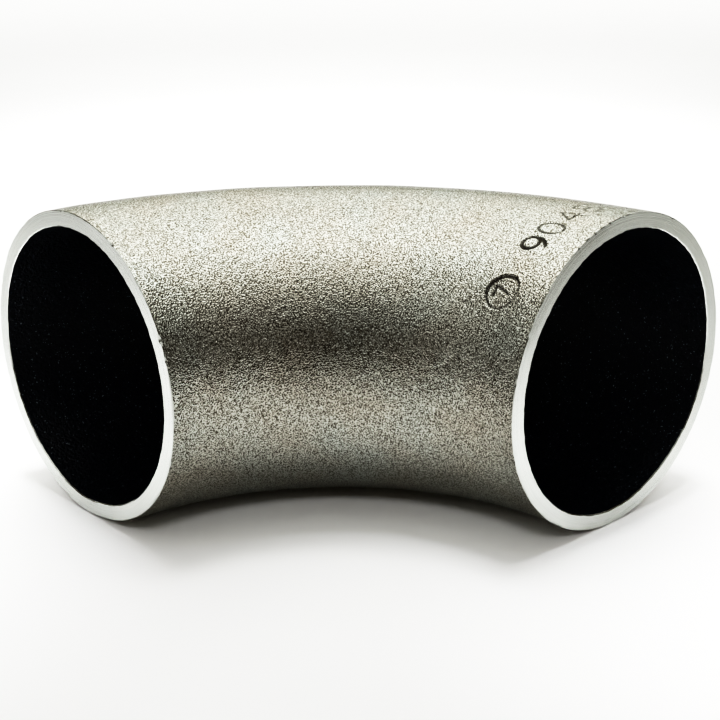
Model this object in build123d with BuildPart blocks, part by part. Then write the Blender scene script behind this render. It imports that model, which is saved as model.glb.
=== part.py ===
from build123d import *
from math import cos, radians, sin
import os

# Butt weld elbow: a steel pipe bend formed in one piece, with plain square-cut
# ends. It lies on its side, with the bend in a level plane. Millimetres.
# One mouth faces -Y and the other -X, and the inside of the bend looks
# towards -X and -Y.

# Pipe section
outside_diameter = 48.3
wall = 2.6

# Bend, measured on the centre line
bend_radius = 57.0
bend_angle = 90.0

# Deburring of the turned end faces: 45 degree breaks at the two rims
outer_rim_break = 0.10
inner_rim_break = 0.15
rim_break_angle = 45

outside_radius = outside_diameter / 2
bore_radius = outside_radius - wall

# The origin lies on the surface that carries the part, under the middle of
# its box, so the centre of the bend is found from how far the part reaches.
outer_reach = bend_radius + outside_radius
inner_reach = bend_radius - outside_radius
turn = radians(bend_angle)
lowest_x = min(inner_reach * cos(turn), outer_reach * cos(turn))
highest_y = outer_reach * sin(min(turn, radians(90)))
bend_centre = Vector(-(outer_reach + lowest_x) / 2, -highest_y / 2, outside_radius)


def end_plane(angle, way_out):
    """The plane of an end face, which looks out of its mouth. The angle is its place
    round the bend. The way out is -1 where the bend starts and 1 where it ends."""
    spoke = Vector(1, 0, 0).rotate(Axis.Z, angle)
    outward = Vector(0, way_out, 0).rotate(Axis.Z, angle)
    return Plane(origin=bend_centre + spoke * bend_radius, x_dir=spoke, z_dir=outward)


first_end = end_plane(0, -1)
second_end = end_plane(bend_angle, 1)

with BuildPart() as elbow:
    # Pipe wall, turned about the centre of the bend
    with BuildSketch(first_end) as pipe_section:
        Circle(outside_radius)
        Circle(bore_radius, mode=Mode.SUBTRACT)
    revolve(axis=Axis(bend_centre, (0, 0, 1)), revolution_arc=bend_angle)

    # A cone cut into each mouth breaks its inner rim
    with BuildSketch(first_end, second_end) as mouths:
        Circle(bore_radius + inner_rim_break)
    extrude(amount=-2 * inner_rim_break, taper=rim_break_angle, mode=Mode.SUBTRACT)

    # A ring cut round each end breaks its outer rim
    with BuildSketch(first_end, second_end) as end_rings:
        Circle(outside_radius + 4 * outer_rim_break)
        Circle(outside_radius - outer_rim_break, mode=Mode.SUBTRACT)
    extrude(amount=-2 * outer_rim_break, taper=rim_break_angle, mode=Mode.SUBTRACT)

elbow.part.label = "elbow"

os.makedirs("parts", exist_ok=True)
export_step(elbow.part, "parts/elbow.step")
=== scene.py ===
from math import atan2, cos, pi, radians, sin

import bpy
import numpy as np
from mathutils import Matrix, Vector


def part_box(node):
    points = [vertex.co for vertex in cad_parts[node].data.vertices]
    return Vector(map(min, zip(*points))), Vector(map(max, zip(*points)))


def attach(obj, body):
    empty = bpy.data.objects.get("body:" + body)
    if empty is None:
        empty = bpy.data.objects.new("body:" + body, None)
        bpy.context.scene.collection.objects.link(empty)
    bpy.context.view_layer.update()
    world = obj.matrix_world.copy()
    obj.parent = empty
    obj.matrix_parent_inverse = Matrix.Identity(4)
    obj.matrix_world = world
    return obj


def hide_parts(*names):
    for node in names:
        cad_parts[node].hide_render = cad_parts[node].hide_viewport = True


# Butt weld elbow in shot-blasted steel. Metres, in the frame of the CAD part:
# it lies on its side on z = 0, with one mouth towards -Y and the other towards -X.

MM = 0.001

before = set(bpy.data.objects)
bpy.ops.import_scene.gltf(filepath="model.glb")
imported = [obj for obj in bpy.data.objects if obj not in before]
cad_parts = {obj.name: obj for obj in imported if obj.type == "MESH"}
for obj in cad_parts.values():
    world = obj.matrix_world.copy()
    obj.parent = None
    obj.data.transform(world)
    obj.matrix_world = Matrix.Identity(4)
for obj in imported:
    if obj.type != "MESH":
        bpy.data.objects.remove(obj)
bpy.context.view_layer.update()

# Sizes of the bend, from the CAD node
LOW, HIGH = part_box("elbow")
TUBE_RADIUS = (HIGH.z - LOW.z) / 2
BEND_RADIUS = (HIGH.x - LOW.x) - TUBE_RADIUS
BEND_CENTRE = Vector((LOW.x, LOW.y, LOW.z + TUBE_RADIUS))
BEND_ANGLE = radians(90)
WALL = 2.6 * MM
BORE_RADIUS = TUBE_RADIUS - WALL

# Deburred rims of the two turned end faces
OUTER_RIM_BREAK = 0.10 * MM
INNER_RIM_BREAK = 0.15 * MM

# The surface is laid out by two angles. The turn runs round the bend, from 0 at the first mouth,
# which faces -Y, to 90 degrees at the second. The clock runs round the pipe: 0 on the outside of
# the bend, 90 degrees on top, 180 on the inside of the bend.

# Spacing of the points, in degrees: how far each zone reaches and its largest step. They are
# closest at the struck marks, and close at the pits and along the worn lower rims
FIRST_TURN = 1.3
TURN_ZONES = [(5.0, 0.75), (14.2, 0.16), (20.5, 0.55), (43.0, 1.0), (62.0, 0.5), (88.7, 1.0)]
CLOCK_ZONES = [(84.0, 1.9), (148.0, 0.29), (170.0, 0.6), (262.0, 1.9), (335.0, 1.2), (360.0, 1.9)]
BORE_FIRST_TURN = 1.5
BORE_LAST_TURN = 88.5
BORE_ROWS = 37

# How far behind each outer rim its first rows of points lie
RIM_ROWS = np.array([0.22, 0.38, 0.62]) * MM

# The formed outside isn't quite even: soft hollows, calmed near the mouths, which were sized
HOLLOW_DEPTH = 0.035 * MM
HOLLOW_LENGTH = 11 * MM
HOLLOW_SEED = 7
HOLLOWS_BEGIN = (1, 6)
HOLLOWS_END = (84, 89)

# Stamped marks, on a line round the pipe beside the first mouth
MARK_LINE = 6.7 * MM
DIGIT_HEIGHT = 3.9 * MM
DIGIT_WIDTH = 2.8 * MM

# Clock angle of each digit's middle, how deep it is struck, half the width of its stroke, and how
# dark the shade painted into its bottom is
STRUCK_DIGITS = [
    ("9", 120.3, 0.28 * MM, 0.32 * MM, 1.0),
    ("0", 111.4, 0.20 * MM, 0.25 * MM, 0.9),
    ("4", 101.5, 0.20 * MM, 0.24 * MM, 0.9),
    ("8", 92.5, 0.18 * MM, 0.24 * MM, 0.8),
]

# Ring mark with a numeral in it
RING_MARK_CLOCK = 141.3
RING_MARK_RADIUS = 2.25 * MM
RING_MARK_STRETCH = 1.13
RING_MARK_LIP = 0.3
NUMERAL_WIDTH = 1.5 * MM
NUMERAL_HEIGHT = 2.2 * MM
NUMERAL_DEPTH = 0.16 * MM
NUMERAL_HALF_STROKE = 0.24 * MM
NUMERAL_LIP = 0.2

# Larger pits of the blasted surface: turn and clock in degrees, radius and depth
PITS = [
    (59.5, 152.9, 0.55 * MM, 0.13 * MM),
    (50.2, 132.1, 0.50 * MM, 0.09 * MM),
    (47.3, 165.4, 0.40 * MM, 0.08 * MM),
    (45.4, 159.9, 0.40 * MM, 0.08 * MM),
    (17.6, 147.5, 0.60 * MM, 0.10 * MM),
]
PIT_LIP = 0.25

# How the rims of each mouth depart from round: clock angle in degrees, and millimetres outwards
OUTER_RIM_SHAPE = {
    "first": [(0, 0), (50, 0.08), (90, 0), (112, -0.2), (148, -0.5), (170, -0.15), (195, 0.1),
              (230, 0.08), (265, 0), (310, -0.15), (340, -0.1)],
    "second": [(0, 0), (30, 0), (75, -0.15), (125, -0.1), (180, 0), (205, 0), (220, -0.2),
               (240, -0.4), (262, -0.45), (280, -0.05), (330, 0)],
}
INNER_RIM_SHAPE = {
    "first": [(0, 0.1), (37, 0.35), (75, 0.25), (140, -0.15), (175, 0), (200, 0.15), (225, 0.3),
              (265, 0.2), (300, 0), (330, 0.3)],
    "second": [(0, 0.5), (20, 0.5), (45, 0.3), (75, 0), (140, 0.2), (180, 0.3), (215, 0),
               (240, -0.25), (262, -0.25), (278, 0.2), (310, 0.45)],
}
RIM_SOFTENING = 19
RIM_SHAPE_REACH = 5 * MM

# Where a file has dressed the outer part of each end face: first and last clock angle, and how
# far its outer edge lies back. It fades out at both ends and reaches a part of the way inwards
DRESSED_STRETCH = {"first": (96, 162, 0.13 * MM), "second": (52, 104, 0.07 * MM)}
DRESSED_FADE = 14
DRESSED_WIDTH = 0.54

# Rows of points over an end face, as shares of its width from the outer rim inwards
FACE_ROWS = (0.0, 0.27, DRESSED_WIDTH, 0.64, 1.0)

# Wear of the rims: how ragged they are, many small nicks, and a few deeper ones, each with its
# clock angle, half length and depth
RAGGED_WAVES = (9, 17, 31, 53, 83)
OUTER_RAGGEDNESS = 0.018 * MM
INNER_RAGGEDNESS = 0.022 * MM
OUTER_RIM_SEEDS = {"first": 3, "second": 5}
INNER_RIM_SEED = 8
SMALL_NICKS = 26
SMALL_NICK_HALF_LENGTH = (0.25, 0.8)
SMALL_NICK_DEPTH = (0.05, 0.16)
RIM_NICKS = {
    "first": [(65, 0.5 * MM, 0.15 * MM), (94, 0.3 * MM, 0.22 * MM), (101, 0.4 * MM, 0.18 * MM),
              (109, 0.3 * MM, 0.25 * MM), (118, 0.4 * MM, 0.20 * MM)],
    "second": [(156, 0.7 * MM, 0.40 * MM), (163, 0.4 * MM, 0.20 * MM), (118, 0.5 * MM, 0.15 * MM)],
}

# Camera: the photograph's viewing angle in degrees, and its place from the bend's centre
CAMERA_AZIMUTH = -42.173
CAMERA_ELEVATION = 19.181
CAMERA_ROLL = -0.386
CAMERA_DISTANCE = 163.23 * MM
AIM_TO_THE_RIGHT = 3.62 * MM
AIM_UPWARDS = 14.96 * MM
LENS_MM = 67.69
SENSOR_MM = 36.0

# Light panels that hang level over the floor: height, how far the middle is to the right of the
# bend's centre, width, brightness, and where each starts and ends behind the bend's centre. The
# ceiling fades towards the camera in two steps, its edge and its fringe
LIGHT_PANELS = {
    "light_ceiling": (0.17, 0.008, 0.150, 1.75, 0.004, 0.15),
    "light_edge": (0.17, 0.018, 0.210, 0.65, -0.050, 0.004),
    "light_fringe": (0.17, 0.010, 0.400, 0.22, -0.140, -0.050),
    "light_beyond": (0.17, 0.000, 0.36, 1.00, 0.15, 0.60),
    "light_behind": (0.45, 0.000, 2.00, 1.15, 0.60, 2.00),
    "light_left": (0.17, -0.260, 0.34, 0.60, -0.16, 0.02),
    "light_right": (0.17, 0.250, 0.26, 0.25, -0.22, -0.06),
}
PANEL_TINT = (1.0, 1.01, 0.98)

# Lamps for the floor. Each pool of light: its centre to the right of and behind the bend's
# centre, its radius, the lamp's power, and how far behind its pool the lamp hangs
FLOOR_LAMPS = {
    "lamp_over_bend": (0.000, 0.030, 0.090, 1.1, 0.045),
    "lamp_in_front": (0.000, 0.045, 0.080, 1.3, -0.450),
    "lamp_over_left": (-0.105, 0.045, 0.050, 9.5, 0.045),
    "lamp_over_right": (0.083, 0.006, 0.031, 10.0, 0.045),
    "lamp_at_right_mouth": (0.048, 0.033, 0.022, 4.0, -0.040),
    "lamp_behind": (0.000, 0.300, 0.250, 2.5, 0.045),
}
LAMP_HEIGHT = 0.40
LAMP_RADIUS = 0.05
POOL_EDGE_BLEND = 0.5

# The room beyond the lights: a dark, warm grey
ROOM_TINT = (1.0, 0.85, 0.65, 1)
ROOM_BRIGHTNESS = 0.049

FLOOR_HALF_SIZE = 3.0

# Tone curve from scene light to picture light: firm in the middle, soft in the highlights
TONE_CURVE = [
    (0.0, 0.0), (0.0056, 0.004), (0.028, 0.033), (0.067, 0.105), (0.111, 0.209), (0.167, 0.352),
    (0.222, 0.485), (0.278, 0.584), (0.333, 0.665), (0.4, 0.745), (0.5, 0.831), (0.611, 0.896),
    (0.778, 0.956), (1.0, 1.0),
]


def hex_colour(code):
    """Linear RGBA of an sRGB hex value such as #808080."""
    parts = [int(code[i:i + 2], 16) / 255 for i in (1, 3, 5)]
    linear = [p / 12.92 if p <= 0.04045 else ((p + 0.055) / 1.055) ** 2.4 for p in parts]
    return (*linear, 1.0)


# Points and profiles

def zoned_steps(start, zones):
    """Values from start on, where each zone says how far it reaches and its largest step."""
    values = [start]
    for end, step in zones:
        count = int(np.ceil((end - values[-1]) / step))
        values.extend(np.linspace(values[-1], end, count + 1)[1:])
    return np.array(values)


def on_bend(turn, clock, radius):
    """Points at a radius from the pipe's centre line, as an array of x, y, z."""
    reach = BEND_RADIUS + radius * np.cos(clock)
    return np.stack([
        BEND_CENTRE.x + reach * np.cos(turn),
        BEND_CENTRE.y + reach * np.sin(turn),
        BEND_CENTRE.z + radius * np.sin(clock) + 0 * turn,
    ], axis=-1)


def smooth_noise(points, wavelength, seed, waves=24):
    """Soft unevenness between about -1 and 1: a few waves in random directions."""
    draw = np.random.default_rng(seed)
    total = np.zeros(points.shape[:-1])
    for _ in range(waves):
        direction = draw.normal(size=3)
        direction /= np.linalg.norm(direction)
        pace = 2 * pi / (wavelength * draw.uniform(0.7, 1.5))
        total += np.sin(points @ direction * pace + draw.uniform(0, 2 * pi))
    return total / np.sqrt(2 * waves)


def ramp(value, start, end):
    """0 before start, 1 after end, and a smooth rise between them."""
    t = np.clip((value - start) / (end - start), 0, 1)
    return t * t * (3 - 2 * t)


# Struck marks and pits

def arc(cx, cy, rx, ry, first, last, pieces=14):
    """Points on an arc with two radii, from one angle to another in degrees."""
    angles = np.radians(np.linspace(first, last, pieces + 1))
    return [(cx + rx * cos(a), cy + ry * sin(a)) for a in angles]


# Digits, as strokes in a cell 1 wide and 1 high
DIGITS = {
    "0": [arc(0.50, 0.50, 0.46, 0.50, 0, 360, 24)],
    "4": [[(0.74, 0.00), (0.74, 1.00), (0.02, 0.32), (1.00, 0.32)]],
    "7": [[(0.04, 1.00), (0.96, 1.00), (0.36, 0.00)]],
    "8": [arc(0.50, 0.75, 0.38, 0.25, 0, 360, 20), arc(0.50, 0.25, 0.46, 0.25, 0, 360, 20)],
    "9": [arc(0.50, 0.69, 0.44, 0.31, 0, 360, 20), arc(0.02, 0.66, 0.92, 0.66, 0, -62)],
}


def sized(strokes, left, bottom, width, height):
    """Strokes, brought from their cell to a place and a size."""
    return [[(left + px * width, bottom + py * height) for px, py in chain] for chain in strokes]


def stroke_distance(x, y, strokes):
    """Distance from points to the nearest of some strokes, each a chain of points."""
    nearest = np.full(x.shape, 1.0)
    for chain in strokes:
        for (ax, ay), (bx, by) in zip(chain, chain[1:]):
            dx, dy = bx - ax, by - ay
            along = np.clip(((x - ax) * dx + (y - ay) * dy) / (dx * dx + dy * dy), 0, 1)
            nearest = np.minimum(nearest, np.hypot(x - ax - along * dx, y - ay - along * dy))
    return nearest


def groove(distance, half_width, depth, lip=0.12):
    """Height of a stamped groove: round bottom, steep sides and a low raised lip."""
    bottom_edge, lip_place, lip_width = 0.25 * half_width, 1.45 * half_width, 0.4 * half_width
    inside = -depth * (1 - ramp(distance, bottom_edge, half_width))
    beside = lip * depth * np.exp(-((distance - lip_place) / lip_width) ** 2)
    return inside + beside


def groove_shade(distance, half_width):
    """How much of a groove's painted shade falls on a point: 1 at its bottom, 0 at its edge."""
    return 1 - ramp(distance, 0.4 * half_width, half_width)


def struck_height(turn, clock):
    """Height of the stamped marks and pits, and the shade painted on each point inside a stamp."""
    radius_here = BEND_RADIUS + TUBE_RADIUS * np.cos(clock)
    from_mouth = radius_here * np.sin(turn)
    # A stamp struck by hand bites up to a half less in some places than in others
    bite = 0.75 + 0.25 * np.sin(clock * 37) * np.sin(turn * 61)
    height = np.zeros_like(from_mouth)
    stamp_shade = np.zeros_like(from_mouth)
    for digit, middle, depth, half_width, painted_shade in STRUCK_DIGITS:
        across = (radians(middle) - clock) * TUBE_RADIUS + DIGIT_WIDTH / 2
        up = from_mouth - MARK_LINE + DIGIT_HEIGHT / 2
        strokes = sized(DIGITS[digit], 0, 0, DIGIT_WIDTH, DIGIT_HEIGHT)
        distance = stroke_distance(across, up, strokes)
        height += groove(distance, half_width, depth) * bite
        # Shade is painted into each groove, strongest at its bottom
        stamp_shade = np.maximum(stamp_shade, painted_shade * groove_shade(distance, half_width))

    # The ring's stamp leaned to one side, so the ring is deeper and wider there, and painted
    # darker there as shade
    across = (radians(RING_MARK_CLOCK) - clock) * TUBE_RADIUS / RING_MARK_STRETCH
    up = from_mouth - MARK_LINE
    lean = np.clip((across + 0.6 * up) / RING_MARK_RADIUS, -1, 1)
    ring_depth = (0.17 + 0.07 * lean) * MM
    ring_half_width = (0.25 + 0.06 * lean) * MM
    painted_shade = 0.75 + 0.2 * lean
    ring_distance = np.abs(np.hypot(across, up) - RING_MARK_RADIUS)
    numeral = sized(DIGITS["7"], -NUMERAL_WIDTH / 2, -NUMERAL_HEIGHT / 2,
                    NUMERAL_WIDTH, NUMERAL_HEIGHT)
    numeral_distance = stroke_distance(across, up, numeral)
    for distance, depth, half_width, lip in (
        (ring_distance, ring_depth, ring_half_width, RING_MARK_LIP),
        (numeral_distance, NUMERAL_DEPTH, NUMERAL_HALF_STROKE, NUMERAL_LIP),
    ):
        height += groove(distance, half_width, depth, lip)
        stamp_shade = np.maximum(stamp_shade, painted_shade * groove_shade(distance, half_width))

    # A pit's outline is a little three-cornered
    for pit_turn, pit_clock, radius, depth in PITS:
        along = (turn - radians(pit_turn)) * radius_here
        around = (clock - radians(pit_clock)) * TUBE_RADIUS
        reach = np.hypot(along, around) * (1 + 0.2 * np.sin(3 * np.arctan2(around, along)))
        height += groove(reach, radius, depth, PIT_LIP)
    return height, stamp_shade


# Rims

def out_of_round(clock, shape):
    """Smooth offsets round a rim through a few given ones."""
    angles, offsets = zip(*shape)
    turned = np.concatenate([np.array(angles) + 360 * k for k in (-1, 0, 1)])
    each_degree = np.arange(-20, 380)
    level = np.interp(each_degree, turned, np.tile(offsets, 3))
    window = np.hanning(RIM_SOFTENING)
    soft = np.convolve(level, window / window.sum(), mode="same")
    return np.interp(np.degrees(clock), each_degree, soft) * MM


def ragged(clock, draw, size):
    """A ragged line round a rim."""
    return sum(size * np.sin(waves * clock + draw.uniform(0, 2 * pi)) for waves in RAGGED_WAVES)


def rim_wear(clock, seed, nicks):
    """How far the outer rim is worn at each clock angle: a ragged break with many small nicks
    and a few deeper ones."""
    draw = np.random.default_rng(seed)
    wear = OUTER_RIM_BREAK + ragged(clock, draw, OUTER_RAGGEDNESS)
    small = [(draw.uniform(0, 360), draw.uniform(*SMALL_NICK_HALF_LENGTH) * MM,
              draw.uniform(*SMALL_NICK_DEPTH) * MM) for _ in range(SMALL_NICKS)]
    for middle, half_length, depth in small + nicks:
        gap = np.abs((clock - radians(middle) + pi) % (2 * pi) - pi) * TUBE_RADIUS
        wear += depth * (1 - ramp(gap, 0.3 * half_length, half_length))
    return wear


# The elbow

def elbow_rows(clock):
    """The rows of points round the pipe, from mouth to mouth along the outside and back
    through the bore, with the shade painted on each point inside a stamp, and what each row
    starts."""
    rows = []
    starts = []
    stamp_shade = []

    def add(points, begins, inside=None):
        rows.append(points)
        starts.append(begins)
        stamp_shade.append(np.zeros_like(clock) if inside is None else inside)

    outer_shape = {m: out_of_round(clock, OUTER_RIM_SHAPE[m]) for m in OUTER_RIM_SHAPE}
    inner_shape = {m: out_of_round(clock, INNER_RIM_SHAPE[m]) for m in INNER_RIM_SHAPE}
    wear = {m: rim_wear(clock, OUTER_RIM_SEEDS[m], RIM_NICKS[m]) for m in RIM_NICKS}
    draw = np.random.default_rng(INNER_RIM_SEED)
    for m in inner_shape:
        inner_shape[m] = inner_shape[m] + ragged(clock, draw, INNER_RAGGEDNESS)

    def at_distance(back, radius, mouth):
        """Points at a distance behind the plane of a mouth."""
        turn = back / (BEND_RADIUS + radius * np.cos(clock))
        return on_bend(BEND_ANGLE - turn if mouth == "second" else turn, clock, radius)

    def shape_at(turn, shape):
        """The out-of-roundness that is left at a turn angle, from both mouths."""
        reach = RIM_SHAPE_REACH / BEND_RADIUS
        return (shape["first"] * (1 - ramp(turn, 0, reach))
                + shape["second"] * ramp(turn, BEND_ANGLE - reach, BEND_ANGLE))

    def add_outside_rim(mouth, distances):
        for back in distances:
            turn = float(np.mean(back)) / BEND_RADIUS
            near = shape_at(BEND_ANGLE - turn if mouth == "second" else turn, outer_shape)
            worn = mouth == "second" and back is wear[mouth]
            add(at_distance(back, TUBE_RADIUS + near, mouth), "rim" if worn else "outside")

    def add_outside():
        for turn in np.radians(zoned_steps(FIRST_TURN, TURN_ZONES)):
            spread = turn + 0 * clock
            level = on_bend(spread, clock, TUBE_RADIUS)
            height, inside = struck_height(spread, clock)
            begun = ramp(turn, *(radians(t) for t in HOLLOWS_BEGIN))
            ended = ramp(turn, *(radians(t) for t in HOLLOWS_END))
            hollow = HOLLOW_DEPTH * begun * (1 - ended)
            height = height - hollow * (1 + smooth_noise(level, HOLLOW_LENGTH, HOLLOW_SEED))
            height = height + shape_at(turn, outer_shape)
            add(on_bend(spread, clock, TUBE_RADIUS + height), "outside", inside)

    def add_face(mouth, shares):
        outer_edge = TUBE_RADIUS + outer_shape[mouth] - wear[mouth]
        inner_edge = BORE_RADIUS + inner_shape[mouth] + INNER_RIM_BREAK
        first, last, depth = DRESSED_STRETCH[mouth]
        angle = np.degrees(clock)
        dressed = (depth * ramp(angle, first, first + DRESSED_FADE)
                   * (1 - ramp(angle, last - DRESSED_FADE, last)))
        for share in shares:
            back = dressed * max(0.0, 1 - share / DRESSED_WIDTH)
            add(at_distance(back, outer_edge + share * (inner_edge - outer_edge), mouth),
                "rim" if share == shares[-1] else "face")

    def add_bore_rim(mouth):
        add(at_distance(INNER_RIM_BREAK, BORE_RADIUS + inner_shape[mouth], mouth),
            "bore" if mouth == "second" else "rim")

    add_outside_rim("first", [wear["first"], *RIM_ROWS])
    add_outside()
    add_outside_rim("second", [*RIM_ROWS[::-1], wear["second"]])
    add_face("second", FACE_ROWS)
    add_bore_rim("second")
    for turn in np.radians(np.linspace(BORE_LAST_TURN, BORE_FIRST_TURN, BORE_ROWS)):
        add(on_bend(turn + 0 * clock, clock, BORE_RADIUS + shape_at(turn, inner_shape)), "bore")
    add_bore_rim("first")
    add_face("first", FACE_ROWS[::-1])
    return np.array(rows), np.array(stamp_shade), starts


def make_elbow(materials):
    clock = np.radians(zoned_steps(0.0, CLOCK_ZONES)[:-1])
    rows, stamp_shade, starts = elbow_rows(clock)
    row_count, around = rows.shape[:2]
    index = np.arange(row_count * around).reshape(row_count, around)
    after = np.roll(index, -1, axis=0)
    quads = np.stack(
        [index, np.roll(index, -1, axis=1), np.roll(after, -1, axis=1), after], axis=-1)
    mesh = bpy.data.meshes.new("blasted_elbow")
    mesh.from_pydata(rows.reshape(-1, 3).tolist(), [], quads.reshape(-1, 4).tolist())

    # Each material by what its rows start. A rim's small slope is turned steel, as the face is
    slots = list(materials)
    for name in slots:
        mesh.materials.append(materials[name])
    skin = {"outside": "outside", "rim": "face", "face": "face", "bore": "bore"}
    row_slot = np.array([slots.index(skin[s]) for s in starts])
    mesh.polygons.foreach_set("material_index", np.repeat(row_slot, around).astype(np.int32))

    # Smooth all over, but for a sharp edge wherever a row starts another part
    mesh.polygons.foreach_set("use_smooth", np.ones(len(mesh.polygons), dtype=bool))
    edge_rows = {i for i in range(row_count) if starts[i] != starts[i - 1]}
    ends = np.empty(len(mesh.edges) * 2, dtype=np.int32)
    mesh.edges.foreach_get("vertices", ends)
    end_rows = ends.reshape(-1, 2) // around
    sharp = (end_rows[:, 0] == end_rows[:, 1]) & np.isin(end_rows[:, 0], list(edge_rows))
    mesh.attributes.new("sharp_edge", "BOOLEAN", "EDGE").data.foreach_set("value", sharp)
    # Painted shade of the stamped grooves, kept on the points for the steel's colour
    stamped = mesh.attributes.new("stamp_shade", "FLOAT", "POINT")
    stamped.data.foreach_set("value", stamp_shade.reshape(-1).astype(np.float32))
    mesh.validate()

    piece = bpy.data.objects.new("blasted_elbow", mesh)
    bpy.context.scene.collection.objects.link(piece)
    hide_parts("elbow")
    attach(piece, "root")


# Materials

def new_material(name):
    material = bpy.data.materials.new(name)
    material.use_nodes = True
    tree = material.node_tree
    tree.nodes.clear()
    output = tree.nodes.new("ShaderNodeOutputMaterial")
    shader = tree.nodes.new("ShaderNodeBsdfPrincipled")
    tree.links.new(shader.outputs["BSDF"], output.inputs["Surface"])
    return material, tree, shader


def add_node(tree, kind, settings=(), **inputs):
    """Adds a node with its settings. An input is a number, a colour, or another node's output,
    and is named as on the node, or by its number, such as i0."""
    node = tree.nodes.new(kind)
    for key, value in dict(settings).items():
        setattr(node, key, value)
    for key, value in inputs.items():
        name = key.replace("_", " ")
        socket = node.inputs[int(key[1:])] if key[1:].isdigit() else node.inputs[name]
        if isinstance(value, bpy.types.NodeSocket):
            tree.links.new(value, socket)
        else:
            socket.default_value = value
    return node


def blasted_steel():
    """Carbon steel, cleaned with steel shot: a bright grey satin metal. Its tiny craters
    glitter, deeper ones show as dark dots, and shade is painted dark into the stamped grooves."""
    material, tree, shader = new_material("shot_blasted_carbon_steel")
    # Shot leaves craters of 0.05 to 0.2 mm. They are drawn at 0.2 mm, as a pixel covers 0.15 mm
    crater_size = 0.20 * MM
    deep_crater_spacing = 0.62 * MM
    lump_size = 1.1 * MM
    blotch_size = 9 * MM
    relief = 0.084 * MM
    place = add_node(tree, "ShaderNodeTexCoord").outputs["Object"]
    grain = add_node(tree, "ShaderNodeTexNoise", Vector=place, Scale=1 / crater_size, Detail=0.0,
                     Roughness=0.5).outputs["Fac"]
    lumps = add_node(tree, "ShaderNodeTexNoise", Vector=place, Scale=1 / lump_size, Detail=1.0,
                     Roughness=0.5).outputs["Fac"]
    blotches = add_node(tree, "ShaderNodeTexNoise", Vector=place, Scale=1 / blotch_size,
                        Detail=3.0, Roughness=0.55).outputs["Fac"]
    # Painted shade of the stamped grooves, read from the points
    stamp = add_node(tree, "ShaderNodeAttribute", {"attribute_name": "stamp_shade"}).outputs["Fac"]
    tone = add_node(tree, "ShaderNodeMapRange", Value=blotches, From_Min=0.3, From_Max=0.7,
                    To_Min=0.0, To_Max=1.0).outputs["Result"]
    steel = add_node(tree, "ShaderNodeMix", {"data_type": "RGBA"}, Factor=tone,
                     i6=hex_colour("#bab6aa"), i7=hex_colour("#bec2ba")).outputs[2]
    specks = add_node(tree, "ShaderNodeMapRange", Value=grain, From_Min=0.34, From_Max=0.66,
                      To_Min=1.0, To_Max=0.0).outputs["Result"]
    deep_craters = add_node(tree, "ShaderNodeTexVoronoi", Vector=place,
                            Scale=1 / deep_crater_spacing, Randomness=1.0).outputs["Distance"]
    dots = add_node(tree, "ShaderNodeMapRange", Value=deep_craters, From_Min=0.12, From_Max=0.34,
                    To_Min=0.7, To_Max=0.0).outputs["Result"]
    speckled = add_node(tree, "ShaderNodeMath", {"operation": "MAXIMUM"}, i0=specks,
                        i1=dots).outputs[0]
    pitted = add_node(tree, "ShaderNodeMix", {"data_type": "RGBA"}, Factor=speckled,
                      i6=steel, i7=hex_colour("#454036")).outputs[2]
    # The stamped grooves are darkened with painted shade
    coloured = add_node(tree, "ShaderNodeMix", {"data_type": "RGBA"}, Factor=stamp,
                        i6=pitted, i7=hex_colour("#26231d")).outputs[2]
    height = add_node(tree, "ShaderNodeMath", {"operation": "MULTIPLY_ADD"}, i0=lumps, i1=0.7,
                      i2=grain).outputs[0]
    bump = add_node(tree, "ShaderNodeBump", Strength=1.0, Distance=relief, Height=height)
    gloss = add_node(tree, "ShaderNodeMapRange", Value=grain, From_Min=0.3, From_Max=0.7,
                     To_Min=0.22, To_Max=0.14).outputs["Result"]
    tree.links.new(coloured, shader.inputs["Base Color"])
    tree.links.new(gloss, shader.inputs["Roughness"])
    tree.links.new(bump.outputs["Normal"], shader.inputs["Normal"])
    shader.inputs["Metallic"].default_value = 1.0
    shader.inputs["Specular Tint"].default_value = (0.5, 0.5, 0.48, 1)
    return material


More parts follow.
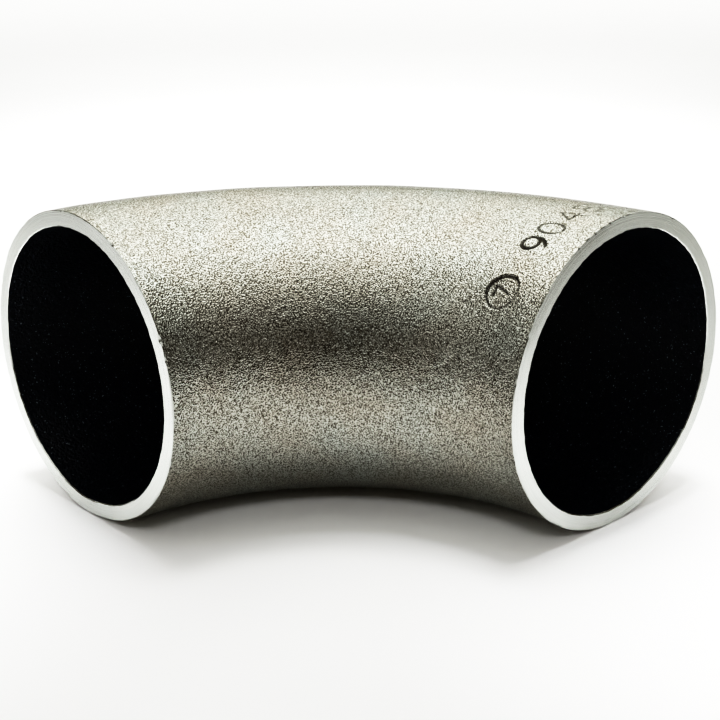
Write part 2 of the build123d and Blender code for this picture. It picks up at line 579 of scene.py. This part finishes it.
def turned_steel():
    """The same steel, turned square on a lathe: bright, with fine round tool lines that
    spread each reflection across them."""
    material, tree, shader = new_material("turned_carbon_steel")
    # A lathe leaves lines 0.05 to 0.1 mm apart. They are drawn 0.16 mm apart, as a pixel
    # covers 0.15 mm
    tool_line_spacing = 0.16 * MM
    stain_size = 5 * MM
    relief = 0.05 * MM
    place = add_node(tree, "ShaderNodeTexCoord").outputs["Object"]
    mouths = []
    for turn in (0.0, BEND_ANGLE):
        centre = BEND_CENTRE + BEND_RADIUS * Vector((cos(turn), sin(turn), 0))
        mouths.append(add_node(tree, "ShaderNodeVectorMath", {"operation": "DISTANCE"}, i0=place,
                               i1=tuple(centre)).outputs["Value"])
    radius = add_node(tree, "ShaderNodeMath", {"operation": "MINIMUM"}, i0=mouths[0],
                      i1=mouths[1]).outputs[0]
    lines = add_node(tree, "ShaderNodeTexNoise", {"noise_dimensions": "1D"}, W=radius,
                     Scale=1 / tool_line_spacing, Detail=3.0, Roughness=0.7).outputs["Fac"]
    stains = add_node(tree, "ShaderNodeTexNoise", Vector=place, Scale=1 / stain_size,
                      Detail=2.0).outputs["Fac"]
    tone = add_node(tree, "ShaderNodeMapRange", Value=lines, From_Min=0.3, From_Max=0.7,
                    To_Min=0.0, To_Max=0.6).outputs["Result"]
    steel = add_node(tree, "ShaderNodeMix", {"data_type": "RGBA"}, Factor=tone,
                     i6=hex_colour("#c8cbc6"), i7=hex_colour("#aeb2ac")).outputs[2]
    gloss = add_node(tree, "ShaderNodeMapRange", Value=stains, From_Min=0.3, From_Max=0.7,
                     To_Min=0.14, To_Max=0.24).outputs["Result"]
    bump = add_node(tree, "ShaderNodeBump", Strength=1.0, Distance=relief, Height=lines)
    tree.links.new(steel, shader.inputs["Base Color"])
    tree.links.new(gloss, shader.inputs["Roughness"])
    tree.links.new(bump.outputs["Normal"], shader.inputs["Normal"])
    shader.inputs["Metallic"].default_value = 1.0
    return material


def scaled_bore():
    """Mill scale left inside the bend: a blue-black oxide skin, dull, made darker than the scale
    itself as painted shade of the bore, with a few light specks painted in as glints."""
    material, tree, shader = new_material("mill_scale_with_painted_shade_and_glints")
    # Scale breaks into flakes about half a millimetre across; the painted glints are half of that
    flake_size = 0.5 * MM
    glint_size = 0.28 * MM
    relief = 0.25 * MM
    place = add_node(tree, "ShaderNodeTexCoord").outputs["Object"]
    flakes = add_node(tree, "ShaderNodeTexNoise", Vector=place, Scale=1 / flake_size, Detail=2.0,
                      Roughness=0.6).outputs["Fac"]
    tone = add_node(tree, "ShaderNodeMapRange", Value=flakes, From_Min=0.35, From_Max=0.7,
                    To_Min=0.0, To_Max=1.0).outputs["Result"]
    # Near black: the scale's own blue-black, darkened further as painted shade of the bore
    oxide = add_node(tree, "ShaderNodeMix", {"data_type": "RGBA"}, Factor=tone,
                     i6=hex_colour("#010207"), i7=hex_colour("#05090f")).outputs[2]
    glint_noise = add_node(tree, "ShaderNodeTexNoise", Vector=place, Scale=1 / glint_size,
                     Detail=0.0).outputs["Fac"]
    # Light specks painted into the colour as glints
    painted_glints = add_node(tree, "ShaderNodeMapRange", Value=glint_noise, From_Min=0.75, From_Max=0.82,
                      To_Min=0.0, To_Max=1.0).outputs["Result"]
    # The painted glints' light blue-grey over the dark scale
    scale_shade_and_glints = add_node(tree, "ShaderNodeMix", {"data_type": "RGBA"}, Factor=painted_glints,
                       i6=oxide, i7=hex_colour("#5e686c")).outputs[2]
    bump = add_node(tree, "ShaderNodeBump", Strength=1.0, Distance=relief, Height=flakes)
    tree.links.new(scale_shade_and_glints, shader.inputs["Base Color"])
    tree.links.new(bump.outputs["Normal"], shader.inputs["Normal"])
    shader.inputs["Roughness"].default_value = 0.30
    shader.inputs["Specular IOR Level"].default_value = 0.20
    return material


def white_paper():
    """Matt white background paper, with a faint unevenness."""
    material, tree, shader = new_material("matt_white_paper")
    patch_size = 30 * MM
    place = add_node(tree, "ShaderNodeTexCoord").outputs["Object"]
    patches = add_node(tree, "ShaderNodeTexNoise", Vector=place, Scale=1 / patch_size,
                       Detail=2.0).outputs["Fac"]
    white = add_node(tree, "ShaderNodeMix", {"data_type": "RGBA"}, Factor=patches,
                     i6=hex_colour("#f7f7f7"), i7=hex_colour("#fafafa")).outputs[2]
    tree.links.new(white, shader.inputs["Base Color"])
    shader.inputs["Roughness"].default_value = 0.9
    shader.inputs["Specular IOR Level"].default_value = 0.1
    return material


# Floor, camera and light

def make_floor():
    half = FLOOR_HALF_SIZE
    corners = [(-half, -half, 0), (half, -half, 0), (half, half, 0), (-half, half, 0)]
    mesh = bpy.data.meshes.new("floor")
    mesh.from_pydata(corners, [], [(0, 1, 2, 3)])
    mesh.materials.append(white_paper())
    floor = bpy.data.objects.new("floor", mesh)
    bpy.context.scene.collection.objects.link(floor)


def camera_axes():
    """The camera's right, up and back directions."""
    a, e, roll = (radians(v) for v in (CAMERA_AZIMUTH, CAMERA_ELEVATION, CAMERA_ROLL))
    back = Vector((sin(a) * cos(e), -cos(a) * cos(e), sin(e)))
    right = Vector((cos(a), sin(a), 0))
    up = back.cross(right)
    return cos(roll) * right + sin(roll) * up, cos(roll) * up - sin(roll) * right, back


def level_axes():
    """The level directions away from the camera and to its right."""
    back = camera_axes()[2]
    away = Vector((-back.x, -back.y, 0)).normalized()
    return away, Vector((away.y, -away.x, 0))


def make_camera():
    right, up, back = camera_axes()
    data = bpy.data.cameras.new("camera")
    data.lens = LENS_MM
    data.sensor_width = SENSOR_MM
    data.clip_start = 0.01
    data.clip_end = 10
    camera = bpy.data.objects.new("camera", data)
    place = BEND_CENTRE + AIM_TO_THE_RIGHT * right + AIM_UPWARDS * up + CAMERA_DISTANCE * back
    turn = Matrix((right, up, back)).transposed()
    camera.matrix_world = Matrix.Translation(place) @ turn.to_4x4()
    bpy.context.scene.collection.objects.link(camera)
    bpy.context.scene.camera = camera


def hang_light_panels():
    """A low white light ceiling over the part and the floor behind it, with a dimmer panel on
    each side. It fades out just in front of the part, so the front of the bend mirrors the
    dark."""
    away, level_right = level_axes()
    for name, (height, aside, width, brightness, start, end) in LIGHT_PANELS.items():
        panel = bpy.data.lights.new(name, "AREA")
        panel.shape = "RECTANGLE"
        panel.size = width
        panel.size_y = end - start
        panel.energy = brightness * pi * width * (end - start)
        panel.color = PANEL_TINT
        light = bpy.data.objects.new(name, panel)
        middle = BEND_CENTRE + aside * level_right + away * (start + end) / 2
        light.location = (middle.x, middle.y, height)
        light.rotation_euler = (0, 0, radians(CAMERA_AZIMUTH))
        bpy.context.scene.collection.objects.link(light)


def hang_floor_lamps():
    """Lamps that brighten the floor, as the lower half of the bend mirrors it. The lamps
    themselves aren't mirrored."""
    away, level_right = level_axes()
    floor_centre = Vector((BEND_CENTRE.x, BEND_CENTRE.y, 0))
    for name, (aside, behind, radius, power, setback) in FLOOR_LAMPS.items():
        spot = bpy.data.lights.new(name, "SPOT")
        spot.energy = power
        spot.spot_size = 2 * atan2(radius, LAMP_HEIGHT)
        spot.spot_blend = POOL_EDGE_BLEND
        spot.shadow_soft_size = LAMP_RADIUS
        lamp = bpy.data.objects.new(name, spot)
        pool = floor_centre + aside * level_right + behind * away
        lamp.location = pool + setback * away + Vector((0, 0, LAMP_HEIGHT))
        lamp.rotation_euler = (pool - lamp.location).to_track_quat("-Z", "Y").to_euler()
        lamp.visible_glossy = False
        bpy.context.scene.collection.objects.link(lamp)


def darken_room():
    world = bpy.data.worlds.new("dark_room")
    world.use_nodes = True
    tree = world.node_tree
    tree.nodes.clear()
    room = add_node(tree, "ShaderNodeBackground", Color=ROOM_TINT, Strength=ROOM_BRIGHTNESS)
    output = add_node(tree, "ShaderNodeOutputWorld")
    tree.links.new(room.outputs[0], output.inputs["Surface"])
    bpy.context.scene.world = world


def set_tone():
    """The photograph's tone, as a curve over the finished picture."""
    scene = bpy.context.scene
    scene.view_settings.view_transform = "Standard"
    scene.use_nodes = True
    tree = scene.node_tree
    tree.nodes.clear()
    layers = tree.nodes.new("CompositorNodeRLayers")
    curve = tree.nodes.new("CompositorNodeCurveRGB")
    output = tree.nodes.new("CompositorNodeComposite")
    line = curve.mapping.curves[3]
    for x, y in TONE_CURVE[1:-1]:
        line.points.new(x, y)
    curve.mapping.update()
    tree.links.new(layers.outputs["Image"], curve.inputs["Image"])
    tree.links.new(curve.outputs["Image"], output.inputs["Image"])


make_elbow({"outside": blasted_steel(), "face": turned_steel(), "bore": scaled_bore()})
make_floor()
make_camera()
hang_light_panels()
hang_floor_lamps()
darken_room()
set_tone()
